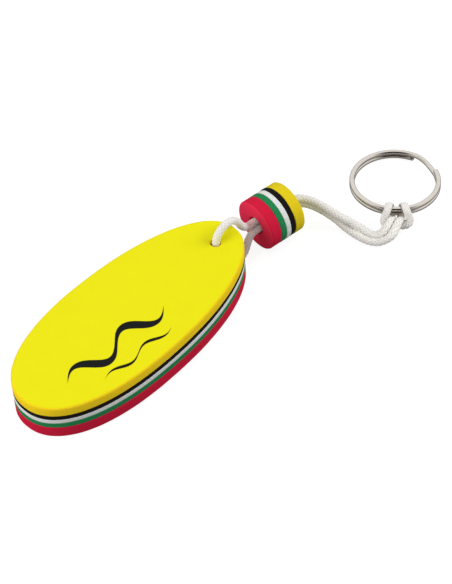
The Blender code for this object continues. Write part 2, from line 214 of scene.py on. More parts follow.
class FoamSettings(bpy.types.PropertyGroup):
    """Sizes and colours of the laminated foam."""

    float_length: length_property("Float length", "Length of the oval float", 0.0763)
    float_width: length_property("Float width", "Width of the float half way along it", 0.0327)
    float_exponent: FloatProperty(name="Float squareness", min=1.5, max=4.0, default=2.2,
                                  description="Exponent of the outline, where 2 is an ellipse")
    float_taper: FloatProperty(name="Float taper", min=0.0, max=0.3, default=0.078,
                               subtype="FACTOR",
                               description="Share of width that the hole's end is narrower by")
    bead_diameter: length_property("Bead diameter", "Diameter of the round bead", 0.0147)
    edge_round: length_property("Edge rounding", "Rounding of the pressed top edge", 0.0008)
    glue_groove: length_property("Glue groove", "Depth of the groove between layers", 0.00013)
    waviness: length_property("Cut waviness", "How far the knife wandered along the edge", 0.00005)
    dish_depth: length_property("Dish depth", "How deep the cord has drawn in the hole's mouth",
                                0.0007)
    red: colour_property("Red", "Colour of the red layer", (0.68, 0.012, 0.050))
    green: colour_property("Green", "Colour of the green layer", slot_colour("foam_green"))
    white: colour_property("White", "Colour of the white layer", slot_colour("foam_white"))
    black: colour_property("Black", "Colour of the black layer", slot_colour("foam_black"))
    yellow: colour_property("Yellow", "Colour of the yellow layer", slot_colour("foam_yellow"))
    # The cut tints paint shade: the yellow layers' cut walls come out darker and more orange than
    # the lit yellow
    cut_painted_shade: tint_property("Cut tint", "Shade of the cut edge of the float's top layer",
                            (1.10, 0.86, 1.3))
    bead_cut_painted_shade: tint_property("Bead cut tint", "Shade of the cut edge of the bead's top layer",
                             (0.88, 0.76, 1.3))
    top_tint: tint_property("Top tint", "Shade of the smooth face of the float's top",
                            (0.90, 0.94, 0.5))
    # Painted light: the red face tint makes the smooth red faces brighter and pinker, as a
    # stronger light and a soft highlight would
    red_face_painted_light: tint_property("Red face tint", "Shade of the smooth face of the red layers",
                            (1.25, 2.2, 1.7))
    cell_size: length_property("Cell size", "Size of the cells on the cut edges", 0.00022)


class CordSettings(bpy.types.PropertyGroup):
    """Sizes and colour of the braided cord."""

    diameter: length_property("Diameter", "Diameter of the cord", 0.0022)
    carriers: IntProperty(name="Strands each way", min=4, max=16, default=6,
                          description="Strands of the braid that run each way round the cord")
    pick: length_property("Pick length", "Length along the cord of one crossing", 0.0011)
    relief: length_property("Relief", "How far the strands stand out", 0.00022)
    colour: colour_property("Colour", "Colour of the yarn", (0.90, 0.87, 0.83))


class RingSettings(bpy.types.PropertyGroup):
    """Sizes and finish of the split ring."""

    diameter: length_property("Diameter", "Outside diameter of the ring", 0.025)
    wire_width: length_property("Wire width", "Width of the wire, seen from above", 0.0014)
    wire_height: length_property("Wire height", "Height of one turn of wire", 0.0012)
    wire_round: length_property("Wire rounding", "Rounding of the wire's edges", 0.00054)
    turn_gap: length_property("Gap between turns", "Gap between the two turns", 0.0001)
    colour: colour_property("Colour", "Colour of the plating", (0.74, 0.69, 0.63))
    roughness: FloatProperty(name="Roughness", subtype="FACTOR", min=0.0, max=1.0, default=0.14,
                             description="Roughness of the plating")


class StudioSettings(bpy.types.PropertyGroup):
    """Light, floor and camera."""

    sky: FloatProperty(name="Sky level", min=0.0, max=2.0, default=0.62,
                       description="Strength of the light from all round")
    key: power_property("Key lamp", "Power of the large lamp on the left", 3.6)
    fill: power_property("Fill lamp", "Power of the weaker lamp on the right", 3.4)
    floor_colour: colour_property("Floor", "Colour of the floor", (0.26, 0.26, 0.26))
    floor_lift: FloatProperty(name="Floor lift", min=0.0, max=1.0, default=0.84,
                              description="What the camera sees added to the floor")
    room_colour: colour_property("Room", "What bright metal mirrors from the room's side",
                                 (0.02, 0.013, 0.009))
    camera_azimuth: angle_property("Camera azimuth",
                                   "Direction of view seen from above, 0 along +Y", -44.07)
    camera_elevation: angle_property("Camera elevation", "Angle of the view below the horizon",
                                     50.805)
    camera_roll: angle_property("Camera roll", "Turn about the view line", 1.62)
    camera_distance: length_property("Camera distance", "From the camera to its target", 0.68378)
    camera_lens: FloatProperty(name="Focal length", subtype="DISTANCE_CAMERA", min=10.0,
                               default=204.94, description="Focal length of the camera in mm")


def settings():
    """The scene's own settings."""
    return bpy.context.scene.keychain


class KeychainSettings(bpy.types.PropertyGroup):
    """All of the keychain's settings."""

    foam: PointerProperty(type=FoamSettings)
    cord: PointerProperty(type=CordSettings)
    ring: PointerProperty(type=RingSettings)
    studio: PointerProperty(type=StudioSettings)


# Shader nodes

NUMBER = "NodeSocketFloat"
COLOUR = "NodeSocketColor"


def add_node(tree, kind, inputs=None, **values):
    """Add a node, set its own values and fill its inputs with numbers or other nodes' outputs."""
    node = tree.nodes.new(kind)
    for key, value in values.items():
        setattr(node, key, value)
    for key, value in (inputs or {}).items():
        if isinstance(value, bpy.types.NodeSocket):
            tree.links.new(value, node.inputs[key])
        else:
            node.inputs[key].default_value = value
    return node


def maths(tree, operation, first, second=0.0, third=0.0, clamp=False):
    """Add a Math node and return its output."""
    node = add_node(tree, "ShaderNodeMath", {0: first, 1: second, 2: third},
                    operation=operation, use_clamp=clamp)
    return node.outputs[0]


def ramp(tree, value, low, high, kind="LINEAR"):
    """Add a Map Range node that rises from 0 to 1 between two values and return its output."""
    node = add_node(tree, "ShaderNodeMapRange", {
        "Value": value, "From Min": low, "From Max": high}, interpolation_type=kind)
    return node.outputs["Result"]


def mix_colour(tree, factor, first, second, blend="MIX"):
    """Add a Mix node for colours, whose sockets 6 and 7 are A and B, and return its result."""
    node = add_node(tree, "ShaderNodeMix", {"Factor": factor, 6: first, 7: second},
                    data_type="RGBA", blend_type=blend)
    return node.outputs[2]


def mix_value(tree, factor, first, second):
    """Add a Mix node for numbers, whose sockets 2 and 3 are A and B, and return its result."""
    return add_node(tree, "ShaderNodeMix", {0: factor, 2: first, 3: second}).outputs[0]


def scale_colour(tree, colour, scale):
    """Multiply a colour by a number and return the result."""
    node = add_node(tree, "ShaderNodeVectorMath", {0: colour, "Scale": scale}, operation="SCALE")
    return node.outputs["Vector"]


def add_group(tree, build, inputs):
    """Add a node for a shared effect, which its function builds the first time."""
    group = bpy.data.node_groups.get(build.__name__) or build(build.__name__)
    return add_node(tree, "ShaderNodeGroup", inputs, node_tree=group)


def new_group(name, inputs, outputs):
    """Make a shader node group and return it with the sockets that come in and those to fill."""
    tree = bpy.data.node_groups.new(name, "ShaderNodeTree")
    for label, kind, default in inputs:
        socket = tree.interface.new_socket(label, in_out="INPUT", socket_type=kind)
        if default is not None:
            socket.default_value = default
    for label, kind in outputs:
        tree.interface.new_socket(label, in_out="OUTPUT", socket_type=kind)
    return (tree, tree.nodes.new("NodeGroupInput").outputs,
            tree.nodes.new("NodeGroupOutput").inputs)


def closed_cell_foam(name):
    """Closed-cell foam: a smooth moulded skin on the flat faces and open cells on the cut ones."""
    tree, given, result = new_group(
        name,
        (("Position", "NodeSocketVector", None), ("Facing", "NodeSocketVector", None),
         ("Colour", COLOUR, WHITE), ("Cut Painted Shade", COLOUR, WHITE), ("Face Tint And Painted Light", COLOUR, WHITE),
         ("Cell Size", NUMBER, 0.0002), ("Mottle And Pore Shade", NUMBER, 0.12)),
        (("Colour", COLOUR), ("Roughness", NUMBER), ("Height", NUMBER)))
    facing = add_node(tree, "ShaderNodeSeparateXYZ", {0: given["Facing"]})
    flat = maths(tree, "ABSOLUTE", facing.outputs["Z"])
    skin = ramp(tree, flat, 0.72, 0.97, "SMOOTHSTEP")
    frequency = maths(tree, "DIVIDE", 1.0, given["Cell Size"])
    cells = add_node(tree, "ShaderNodeTexVoronoi", {
        "Vector": given["Position"], "Scale": frequency}, feature="SMOOTH_F1")
    walls = ramp(tree, cells.outputs["Distance"], 0.1, 0.75)
    grain = add_node(tree, "ShaderNodeTexNoise", {
        "Vector": given["Position"], "Scale": 2600.0, "Detail": 3.0, "Roughness": 0.6})
    clouds = add_node(tree, "ShaderNodeTexNoise", {
        "Vector": given["Position"], "Scale": 170.0, "Detail": 2.0})
    # Height: deep cells on a cut, a faint grain on the skin
    cut_height = maths(tree, "MULTIPLY", walls, 0.9)
    skin_height = maths(tree, "MULTIPLY", grain.outputs["Fac"], 0.25)
    height = mix_value(tree, skin, cut_height, skin_height)
    # Shade: painted shade in the pores on a cut, and clouds of mottle half as strong everywhere
    painted_pore_shade = maths(tree, "SUBTRACT", 1.0, walls)
    painted_pore_shade = maths(tree, "MULTIPLY", painted_pore_shade, maths(tree, "SUBTRACT", 1.0, skin))
    shade = maths(tree, "MULTIPLY", painted_pore_shade, given["Mottle And Pore Shade"])
    cloud = maths(tree, "SUBTRACT", clouds.outputs["Fac"], 0.5)
    half_mottle = maths(tree, "MULTIPLY", given["Mottle And Pore Shade"], 0.5)
    shade = maths(tree, "ADD", shade, maths(tree, "MULTIPLY", cloud, half_mottle))
    level = maths(tree, "SUBTRACT", 1.0, shade)
    # Tints for the cuts and faces: painted shade that darkens the yellow cut walls, painted light
    # that brightens the red faces, and the float top's own colour
    tint = mix_colour(tree, skin, given["Cut Painted Shade"], given["Face Tint And Painted Light"])
    colour = mix_colour(tree, 1.0, given["Colour"], tint, "MULTIPLY")
    # Roughness: 0.84 on a cut, 0.28 less on the skin, and up to 0.12 more by the grain
    rough = maths(tree, "MULTIPLY_ADD", skin, -0.28, 0.84)
    rough = maths(tree, "MULTIPLY_ADD", grain.outputs["Fac"], 0.12, rough)
    tree.links.new(scale_colour(tree, colour, level), result["Colour"])
    tree.links.new(rough, result["Roughness"])
    tree.links.new(height, result["Height"])
    return tree


def wave_mark(name):
    """A printed wave: a tapered stroke along X that swells at its crests."""
    tree, given, result = new_group(
        name, [(label, NUMBER, None)
               for label in ("Along", "Across", "Length", "Wavelength", "Rise", "Weight")],
        (("Mask", NUMBER),))
    turn = maths(tree, "DIVIDE", maths(tree, "MULTIPLY", given["Along"], math.tau),
                 given["Wavelength"])
    middle = maths(tree, "MULTIPLY", maths(tree, "SINE", turn), given["Rise"])
    off = maths(tree, "ABSOLUTE", maths(tree, "SUBTRACT", given["Across"], middle))
    # Distance from the line, measured square to it where it climbs
    climb = maths(tree, "MULTIPLY", given["Rise"], math.tau)
    climb = maths(tree, "DIVIDE", climb, given["Wavelength"])
    steep = maths(tree, "MULTIPLY", maths(tree, "COSINE", turn), climb)
    lean = maths(tree, "SQRT", maths(tree, "MULTIPLY_ADD", steep, steep, 1.0))
    off = maths(tree, "DIVIDE", off, lean)
    # Half the stroke's weight, none at its two ends
    reach = maths(tree, "DIVIDE", maths(tree, "MULTIPLY", given["Along"], 2.0),
                  given["Length"])
    body = maths(tree, "SUBTRACT", 1.0, maths(tree, "MULTIPLY", reach, reach), clamp=True)
    swell = maths(tree, "MULTIPLY_ADD", maths(tree, "COSINE", turn), -0.35, 0.65)
    weight = maths(tree, "MULTIPLY", maths(tree, "POWER", body, 0.55),
                   maths(tree, "MULTIPLY", swell, given["Weight"]))
    edge = maths(tree, "SUBTRACT", weight, off)
    tree.links.new(ramp(tree, edge, 0.0, 0.00008), result["Mask"])
    return tree


def braided_yarn(name):
    """Yarn of a round braid over a map whose U runs round the cord and V along it, in picks."""
    tree, given, result = new_group(
        name,
        (("Map", "NodeSocketVector", None), ("Colour", COLOUR, WHITE),
         ("Carriers", NUMBER, 8.0), ("Filaments", NUMBER, 5.0)),
        (("Colour", COLOUR), ("Height", NUMBER)))
    place = add_node(tree, "ShaderNodeSeparateXYZ", {0: given["Map"]})
    round_it = maths(tree, "MULTIPLY", place.outputs["X"], given["Carriers"])
    picks = maths(tree, "MULTIPLY", place.outputs["Y"], PICKS_PER_UNIT)
    right = maths(tree, "ADD", round_it, picks)
    left = maths(tree, "SUBTRACT", round_it, picks)
    cell = maths(tree, "ADD", maths(tree, "FLOOR", right), maths(tree, "FLOOR", left))
    over = maths(tree, "ROUND", maths(tree, "PINGPONG", cell, 1.0))
    right_part = maths(tree, "FRACT", right)
    left_part = maths(tree, "FRACT", left)
    across = mix_value(tree, over, right_part, left_part)
    along = mix_value(tree, over, left_part, right_part)
    off_across = maths(tree, "ABSOLUTE", maths(tree, "SUBTRACT", across, 0.5))
    off_along = maths(tree, "ABSOLUTE", maths(tree, "SUBTRACT", along, 0.5))
    thread = maths(tree, "MULTIPLY", across, given["Filaments"])
    thread = maths(tree, "SINE", maths(tree, "MULTIPLY", thread, math.tau))
    thread = maths(tree, "MULTIPLY_ADD", thread, 0.5, 0.5)
    painted_gap_shade = maths(tree, "MAXIMUM", off_across, maths(tree, "MULTIPLY", off_along, 0.92))
    painted_gap_shade = ramp(tree, painted_gap_shade, 0.30, 0.5, "SMOOTHSTEP")
    # Painted shade: a quarter darker in the gaps between the strands, and a little darker between
    # the filaments
    shade = maths(tree, "MULTIPLY_ADD", painted_gap_shade, -0.25, 1.03)
    shade = maths(tree, "MULTIPLY", shade, maths(tree, "MULTIPLY_ADD", thread, 0.07, 0.94))
    tree.links.new(scale_colour(tree, given["Colour"], shade), result["Colour"])
    tree.links.new(thread, result["Height"])
    return tree


def new_material(name):
    """Make a material and return it with its node tree and its shader."""
    material = bpy.data.materials.new(name)
    material.use_nodes = True
    return material, material.node_tree, material.node_tree.nodes["Principled BSDF"]


def add_bump(tree, shader, height, distance, strength):
    """Feed a height through a Bump node into the shader."""
    bump = add_node(tree, "ShaderNodeBump", {
        "Height": height, "Distance": distance, "Strength": strength})
    tree.links.new(bump.outputs["Normal"], shader.inputs["Normal"])


def foam_material(name, colour, mottle_and_pore_shade, tints_and_painted_light, printed=False):
    """Foam of one colour, tinted with painted light and shade on its faces and cuts, and the print
    on the float's top.
    """
    material, tree, shader = new_material(name)
    place = tree.nodes.new("ShaderNodeTexCoord")
    face_tint_and_painted_light, cut_painted_shade = tints_and_painted_light
    group = add_group(tree, closed_cell_foam, {
        "Position": place.outputs["Object"], "Facing": place.outputs["Normal"],
        "Colour": (*colour, 1.0), "Face Tint And Painted Light": (*face_tint_and_painted_light, 1.0), "Cut Painted Shade": (*cut_painted_shade, 1.0),
        "Cell Size": settings().foam.cell_size, "Mottle And Pore Shade": mottle_and_pore_shade})
    surface = group.outputs["Colour"]
    if printed:
        surface = add_print(tree, place, surface)
    tree.links.new(surface, shader.inputs["Base Color"])
    tree.links.new(group.outputs["Roughness"], shader.inputs["Roughness"])
    shader.inputs["Specular IOR Level"].default_value = 0.12
    add_bump(tree, shader, group.outputs["Height"], 0.00009, 0.55)
    return material


def add_print(tree, place, surface):
    """Lay the black waves over the colour of the float's top."""
    spot = add_node(tree, "ShaderNodeSeparateXYZ", {0: place.outputs["Object"]})
    mask = 0.0
    for x, y, length, wavelength, rise, weight in PRINT_WAVES:
        mark = add_group(tree, wave_mark, {
            "Along": maths(tree, "SUBTRACT", spot.outputs["X"], x),
            "Across": maths(tree, "SUBTRACT", spot.outputs["Y"], y),
            "Length": length, "Wavelength": wavelength, "Rise": rise, "Weight": weight})
        mask = maths(tree, "MAXIMUM", mask, mark.outputs["Mask"])
    on_top = maths(tree, "GREATER_THAN", spot.outputs["Z"], THICKNESS - PRINT_DEPTH)
    return mix_colour(tree, maths(tree, "MULTIPLY", mask, on_top), surface, PRINT_INK)


def cord_material():
    """White braided yarn."""
    cord = settings().cord
    material, tree, shader = new_material("cord_yarn")
    place = add_node(tree, "ShaderNodeUVMap", uv_map="round_and_along")
    group = add_group(tree, braided_yarn, {
        "Map": place.outputs["UV"], "Colour": (*cord.colour, 1.0), "Carriers": cord.carriers})
    tree.links.new(group.outputs["Colour"], shader.inputs["Base Color"])
    shader.inputs["Roughness"].default_value = 0.72
    shader.inputs["Specular IOR Level"].default_value = 0.3
    shader.inputs["Sheen Weight"].default_value = 0.25
    shader.inputs["Sheen Roughness"].default_value = 0.5
    add_bump(tree, shader, group.outputs["Height"], 0.00004, 0.6)
    return material


def nickel_material():
    """Bright plating with fine drawing marks along the wire and faint cloudy wear."""
    ring = settings().ring
    material, tree, shader = new_material("ring_nickel")
    place = add_node(tree, "ShaderNodeUVMap", uv_map="round_and_along")
    stretch = add_node(tree, "ShaderNodeMapping", {
        "Vector": place.outputs["UV"], "Scale": (40.0, 6.0, 1.0)})
    drawn = add_node(tree, "ShaderNodeTexNoise", {
        "Vector": stretch.outputs["Vector"], "Scale": 1.0, "Detail": 4.0, "Roughness": 0.65})
    where = tree.nodes.new("ShaderNodeTexCoord")
    clouds = add_node(tree, "ShaderNodeTexNoise", {
        "Vector": where.outputs["Object"], "Scale": 420.0, "Detail": 3.0})
    # Roughness: the setting's, give or take 0.05 by the clouds, and up to 0.08 more by the marks
    dull = maths(tree, "MULTIPLY_ADD", clouds.outputs["Fac"], 0.10, ring.roughness - 0.05)
    dull = maths(tree, "MULTIPLY_ADD", drawn.outputs["Fac"], 0.08, dull)
    colour = mix_colour(tree, maths(tree, "MULTIPLY", clouds.outputs["Fac"], 0.5),
                        (*ring.colour, 1.0), (*[0.80 * value for value in ring.colour], 1.0))
    tree.links.new(colour, shader.inputs["Base Color"])
    tree.links.new(dull, shader.inputs["Roughness"])
    shader.inputs["Metallic"].default_value = 1.0
    add_bump(tree, shader, drawn.outputs["Fac"], 0.00001, 0.15)
    return material


# Meshes

def smooth_step(share):
    """Ease a share that runs from 0 to 1 in and out."""
    return share ** 2 * (3 - 2 * share)


def signed_power(value, exponent):
    """Raise an array's size to a power and keep its sign."""
    return np.copysign(np.abs(value) ** exponent, value)


def outline_normals(points):
    """Outward normals of a closed outline that runs anticlockwise."""
    along = np.roll(points, -1, axis=0) - np.roll(points, 1, axis=0)
    normals = np.column_stack([along[:, 1], -along[:, 0]])
    return normals / np.linalg.norm(normals, axis=1)[:, None]


def float_outline(foam, count):
    """The float's outline, from its tip at the hole, about its middle."""
    angle = math.tau * np.arange(count) / count
    x = foam.float_length / 2 * signed_power(np.cos(angle), 2 / foam.float_exponent)
    y = foam.float_width / 2 * signed_power(np.sin(angle), 2 / foam.float_exponent)
    return np.column_stack([x, y * (1 - foam.float_taper * 2 * x / foam.float_length)])


def round_outline(diameter, count):
    """A circle about the origin."""
    angle = math.tau * np.arange(count) / count
    return np.column_stack([np.cos(angle), np.sin(angle)]) * diameter / 2


def wander(count, size, seed):
    """A smooth closed ripple along an outline, as a knife leaves it."""
    random = np.random.default_rng(seed)
    angle = math.tau * np.arange(count) / count
    ripple = np.zeros(count)
    for waves in (3, 5, 8, 13, 21, 34):
        ripple += random.normal() * np.sin(waves * angle + random.uniform(0, math.tau)) / waves
    return ripple / np.abs(ripple).max() * size


def quarter(steps):
    """Inset and drop of a quarter circle of unit radius, from the flat face to the wall."""
    angle = np.linspace(0, math.pi / 2, steps)
    return [(1 - math.sin(a), 1 - math.cos(a)) for a in angle]


def edge_profile(groove, edge_round, is_outer):
    """Inset and drop from a layer's flat face to its wall, outer edge or glue line."""
    if is_outer:
        return [(inset * edge_round, drop * edge_round) for inset, drop in quarter(7)]
    # A groove that opens softly, in shares of its depth
    return [(groove, 0.0), (groove * 0.45, groove * 0.35), (groove * 0.1, groove * 1.1),
            (0.0, groove * 2.6)]


def foam_layer(name, outline, hole, low, high, shape):
    """Mesh one layer as closed rings: up the hole, out over the top, down the wall and back."""
    normals = outline_normals(outline)
    centre, radius = hole
    spokes = outline - centre
    spokes /= np.linalg.norm(spokes, axis=1)[:, None]
    rings = []

    def hole_ring(out, z):
        rings.append(np.column_stack([centre + spokes * (radius + out), np.full(len(spokes), z)]))

    def rim_ring(inset, z):
        rings.append(np.column_stack([outline - normals * inset, np.full(len(spokes), z)]))

    def face(z, out, inset, going_out):
        start = centre + spokes * (radius + out)
        stop = outline - normals * inset
        reach = np.linalg.norm(stop - start, axis=1)
        steps = shape["face_steps"]
        for index in range(1, len(steps)):
            step, share = steps[index], index / len(steps)
            if not going_out:
                step, share = steps[-index], 1 - share
            place = np.minimum(step, share * reach) / reach
            flat = start + (stop - start) * place[:, None]
            rings.append(np.column_stack([flat, np.full(len(flat), z)]))

    lower = edge_profile(shape["groove"], shape["edge_round"], shape["is_bottom"])
    upper = edge_profile(shape["groove"], shape["edge_round"], shape["is_top"])
    mouth = shape["mouth"]
    under, over = (2 * mouth if shape["is_bottom"] else 0.0), (mouth if shape["is_top"] else 0.0)
    arc = quarter(5)
    for inset, drop in arc if under else [(0.0, 0.0)]:
        hole_ring(inset * under, low + drop * under)
    for inset, drop in reversed(arc) if over else [(0.0, 0.0)]:
        hole_ring(inset * over, high - drop * over)
    face(high, over, upper[0][0], True)
    for inset, drop in upper:
        rim_ring(inset, high - drop)
    for inset, drop in reversed(lower):
        rim_ring(inset, low + drop)
    face(low, under, lower[0][0], False)
    co = np.concatenate(rings)
    if shape["is_top"] and shape["dish"]:
        away = np.linalg.norm(co[:, :2] - centre, axis=1) - radius
        side = (co[:, 0] - centre[0]) / np.maximum(away + radius, 1e-9)
        # The cord pulls harder on the side of the tip than on the other
        pull = np.exp(-(np.maximum(away, 0) / DISH_REACH) ** 2) * (0.75 + 0.45 * side)
        co[:, 2] -= shape["dish"] * pull * np.clip((co[:, 2] - low) / (high - low), 0, 1)
    return rings_to_mesh(name, co, len(rings), len(spokes), True)


def rings_to_mesh(name, co, rings, around, closed):
    """Join rings of points into a mesh of quads, closed into itself or capped at its two ends."""
    index = np.arange(rings * around).reshape(rings, around)
    if closed:
        index = np.vstack([index, index[:1]])
    ahead = np.roll(index, -1, axis=1)
    quads = np.stack([index[:-1], ahead[:-1], ahead[1:], index[1:]], axis=2).reshape(-1, 4)
    faces = quads.tolist()
    if not closed:
        faces += [index[0][::-1].tolist(), index[-1].tolist()]
    mesh = bpy.data.meshes.new(name)
    mesh.from_pydata(co.tolist(), [], faces)
    work = bmesh.new()
    work.from_mesh(mesh)
    bmesh.ops.recalc_face_normals(work, faces=work.faces)
    work.to_mesh(mesh)
    work.free()
    mesh.shade_smooth()
    return mesh


def add_round_map(mesh, around, along, scale):
    """Give a swept tube a map: U round it and V along it."""
    layer = mesh.uv_layers.new(name="round_and_along")
    for polygon in mesh.polygons:
        columns = [mesh.loops[loop].vertex_index % around for loop in polygon.loop_indices]
        wraps = max(columns) - min(columns) > 1 and len(columns) == 4
        for loop, column in zip(polygon.loop_indices, columns):
            row = mesh.loops[loop].vertex_index // around
            u = (column + around if wraps and column == 0 else column) / around
            layer.data[loop].uv = (u, along[row] * scale)


def link_object(name, data):
    """Make an object and link it to the scene."""
    item = bpy.data.objects.new(name, data)
    bpy.context.scene.collection.objects.link(item)
    return item


def new_piece(mesh, material, matrix, nodes, body):
    """Link a finished piece, place it, and hand it to the frame in place of its nodes."""
    if not mesh.polygons:
        raise RuntimeError(mesh.name + " came out empty")
    item = link_object(mesh.name, mesh)
    mesh.materials.append(material)
    item.matrix_world = matrix
    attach(item, body)
    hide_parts(*nodes)
    return item


def layer_spans():
    """Each layer's name, slot, lower and upper height and whether it is the lowest or highest."""
    height = 0.0
    for index, (name, slot, thickness) in enumerate(LAYERS):
        yield name, slot, height, height + thickness, index == 0, index == len(LAYERS) - 1
        height += thickness


def foam_colour(slot):
    """The chosen colour of one layer."""
    return tuple(getattr(settings().foam, slot.split("_")[1]))


def float_matrix():
    """From the middle of the float's underside to the frame."""
    foam = settings().foam
    return (Matrix.Translation(FLOAT_NEAR_END) @ Euler((0, -FLOAT_TILT, 0)).to_matrix().to_4x4()
            @ Matrix.Translation((foam.float_length / 2, 0, 0)))


def bead_matrix():
    """From the middle of the bead's red face to the frame."""
    turn = Euler((0, math.pi / 2, BEAD_YAW)).to_matrix().to_4x4()
    return Matrix.Translation(BEAD_PLACE) @ turn @ Matrix.Translation((0, 0, -THICKNESS / 2))


def make_block(prefix, outline, hole, matrix, finish, trim, seed):
    """Make the five layers of one laminated block."""
    foam = settings().foam
    for index, (name, slot, low, high, is_bottom, is_top) in enumerate(layer_spans()):
        ripple = wander(len(outline), foam.waviness, seed + index)
        cut = outline + outline_normals(outline) * (ripple - foam.waviness)[:, None]
        if is_bottom:
            low += trim
        shape = {"groove": foam.glue_groove, "is_bottom": is_bottom, "is_top": is_top,
                 "edge_round": foam.edge_round if is_top else foam.edge_round * 0.5, **finish}
        mesh = foam_layer(prefix + name, cut, hole, low + GLUE_AIR, high - GLUE_AIR, shape)
        printed = prefix == "foam_float_" and is_top
        mottle_and_pore_shade = TOP_MOTTLE_AND_PORE_SHADE if is_top else CUT_MOTTLE_AND_PORE_SHADE
        # Painted light on the red layers' faces and painted shade on the yellow cut walls; the
        # float top's tint is its own colour
        tints_and_painted_light = (foam.red_face_painted_light if is_bottom else NO_TINT, NO_TINT)
        if is_top:
            tints_and_painted_light = (foam.top_tint, foam.cut_painted_shade) if printed else (NO_TINT, foam.bead_cut_painted_shade)
        material = foam_material(prefix + slot, foam_colour(slot), mottle_and_pore_shade, tints_and_painted_light, printed)
        node = prefix.replace("foam_", "") + name
        piece = new_piece(mesh, material, matrix, [node], "root")


def spline_through(points, fineness):
    """Pass a centripetal spline through the points."""
    guarded = [2 * points[0] - points[1], *points, 2 * points[-1] - points[-2]]
    curve = []
    for a, b, c, d in zip(guarded, guarded[1:], guarded[2:], guarded[3:]):
        k1 = math.sqrt((b - a).length)
        k2 = k1 + math.sqrt((c - b).length)
        k3 = k2 + math.sqrt((d - c).length)
        for step in range(fineness):
            at = k1 + (k2 - k1) * step / fineness
            ab = (a * (k1 - at) + b * at) / k1
            bc = (b * (k2 - at) + c * (at - k1)) / (k2 - k1)
            cd = (c * (k3 - at) + d * (at - k2)) / (k3 - k2)
            early = (ab * (k2 - at) + bc * at) / k2
            late = (bc * (k3 - at) + cd * (at - k1)) / (k3 - k1)
            curve.append((early * (k2 - at) + late * (at - k1)) / (k2 - k1))
    return np.array([*curve, points[-1]])


def even_steps(curve, step):
    """Points at even steps along a curve, with how far along each lies."""
    reach = np.concatenate([[0], np.cumsum(np.linalg.norm(np.diff(curve, axis=0), axis=1))])
    count = int(round(reach[-1] / step))
    along = np.linspace(0, reach[-1], count + 1)
    return np.column_stack([np.interp(along, reach, axis) for axis in curve.T]), along


def carried_frames(points):
    """Two directions across a line at each point, carried along it without twist."""
    heading = np.gradient(points, axis=0)
    heading /= np.linalg.norm(heading, axis=1)[:, None]
    off_line = (0.3, 1.0, 0.2)
    side = np.cross(heading[0], off_line)
    sides = []
    for ahead in heading:
        side = side - ahead * np.dot(side, ahead)
        side = side / np.linalg.norm(side)
        sides.append(side)
    sides = np.array(sides)
    return sides, np.cross(heading, sides)


def braid_height(around, along, carriers, pick):
    """Height of the braid's surface, from 0 between the strands to 1 on their crests."""
    right = around * carriers / math.tau + along / pick
    left = around * carriers / math.tau - along / pick
    over = (np.floor(right) + np.floor(left)) % 2 < 1
    across = np.where(over, right % 1, left % 1) - 0.5
    length = np.where(over, left % 1, right % 1) - 0.5
    # A strand is round across, and lowest where it dives under its neighbours
    crown = np.sqrt(np.clip(1 - (1.9 * across) ** 2, 0, 1))
    return crown * (0.45 + 0.55 * np.cos(math.pi * length))


def ring_turn():
    """From the ring's own directions to the frame's."""
    return Euler((0, -RING_TILT, HITCH_BEARING)).to_matrix()


def tighten_hitch(co):
    """Draw the loops in round the wire, flatten them there and leave what bears on the floor."""
    to_ring = np.array(ring_turn().transposed())
    local = (co - np.array(HITCH_PLACE)) @ to_ring.T
    size = np.hypot(local[:, 0], local[:, 2])
    tight = HITCH_INSIDE - HITCH_TAKE_UP + (size - HITCH_INSIDE) * HITCH_SQUEEZE
    beside = np.clip((np.linalg.norm(local, axis=1) - HITCH_REACH) / HITCH_REACH, 0, 1)
    below = np.clip((-local[:, 2] / size - BEARING_FROM) / (1 - BEARING_FROM), 0, 1)
    share = (1 - smooth_step(beside)) * (1 - smooth_step(below))
    local[:, (0, 2)] *= (1 + share * (np.minimum(tight, size) - size) / size)[:, None]
    return local @ to_ring + np.array(HITCH_PLACE)


def make_cord():
    """Sweep the cord along its route and raise the strands of its braid."""
    cord = settings().cord
    curve = spline_through([Vector(p) for p in CORD_ROUTE], SPLINE_STEPS)
    points, along = even_steps(curve, CORD_STEP)
    sides, ups = carried_frames(points)
    around = math.tau * np.arange(CORD_POINTS) / CORD_POINTS
    height = braid_height(around[None, :], along[:, None], cord.carriers, cord.pick)
    radius = cord.diameter / 2 - cord.relief * (1 - height)
    rings = (points[:, None, :] + sides[:, None, :] * (radius * np.cos(around))[:, :, None]
             + ups[:, None, :] * (radius * np.sin(around))[:, :, None])
    mesh = rings_to_mesh("braided_cord", tighten_hitch(rings.reshape(-1, 3)), len(points),
                         len(around), False)
    add_round_map(mesh, len(around), along, 1 / PICKS_PER_UNIT / cord.pick)
    piece = new_piece(mesh, cord_material(), Matrix.Identity(4), ["cord"], "root")


def wire_section(ring):
    """Rounded section of the flat wire: how far out and how far up each point lies."""
    side = ring.wire_width / 2 - ring.wire_round
    top = ring.wire_height / 2 - ring.wire_round
    points = []
    for turn, (right, up) in enumerate(((1, 1), (-1, 1), (-1, -1), (1, -1))):
        for angle in math.pi / 2 * (turn + np.arange(CORNER_POINTS) / (CORNER_POINTS - 1)):
            points.append((right * side + ring.wire_round * math.cos(angle),
                           up * top + ring.wire_round * math.sin(angle)))
    return np.array(points)


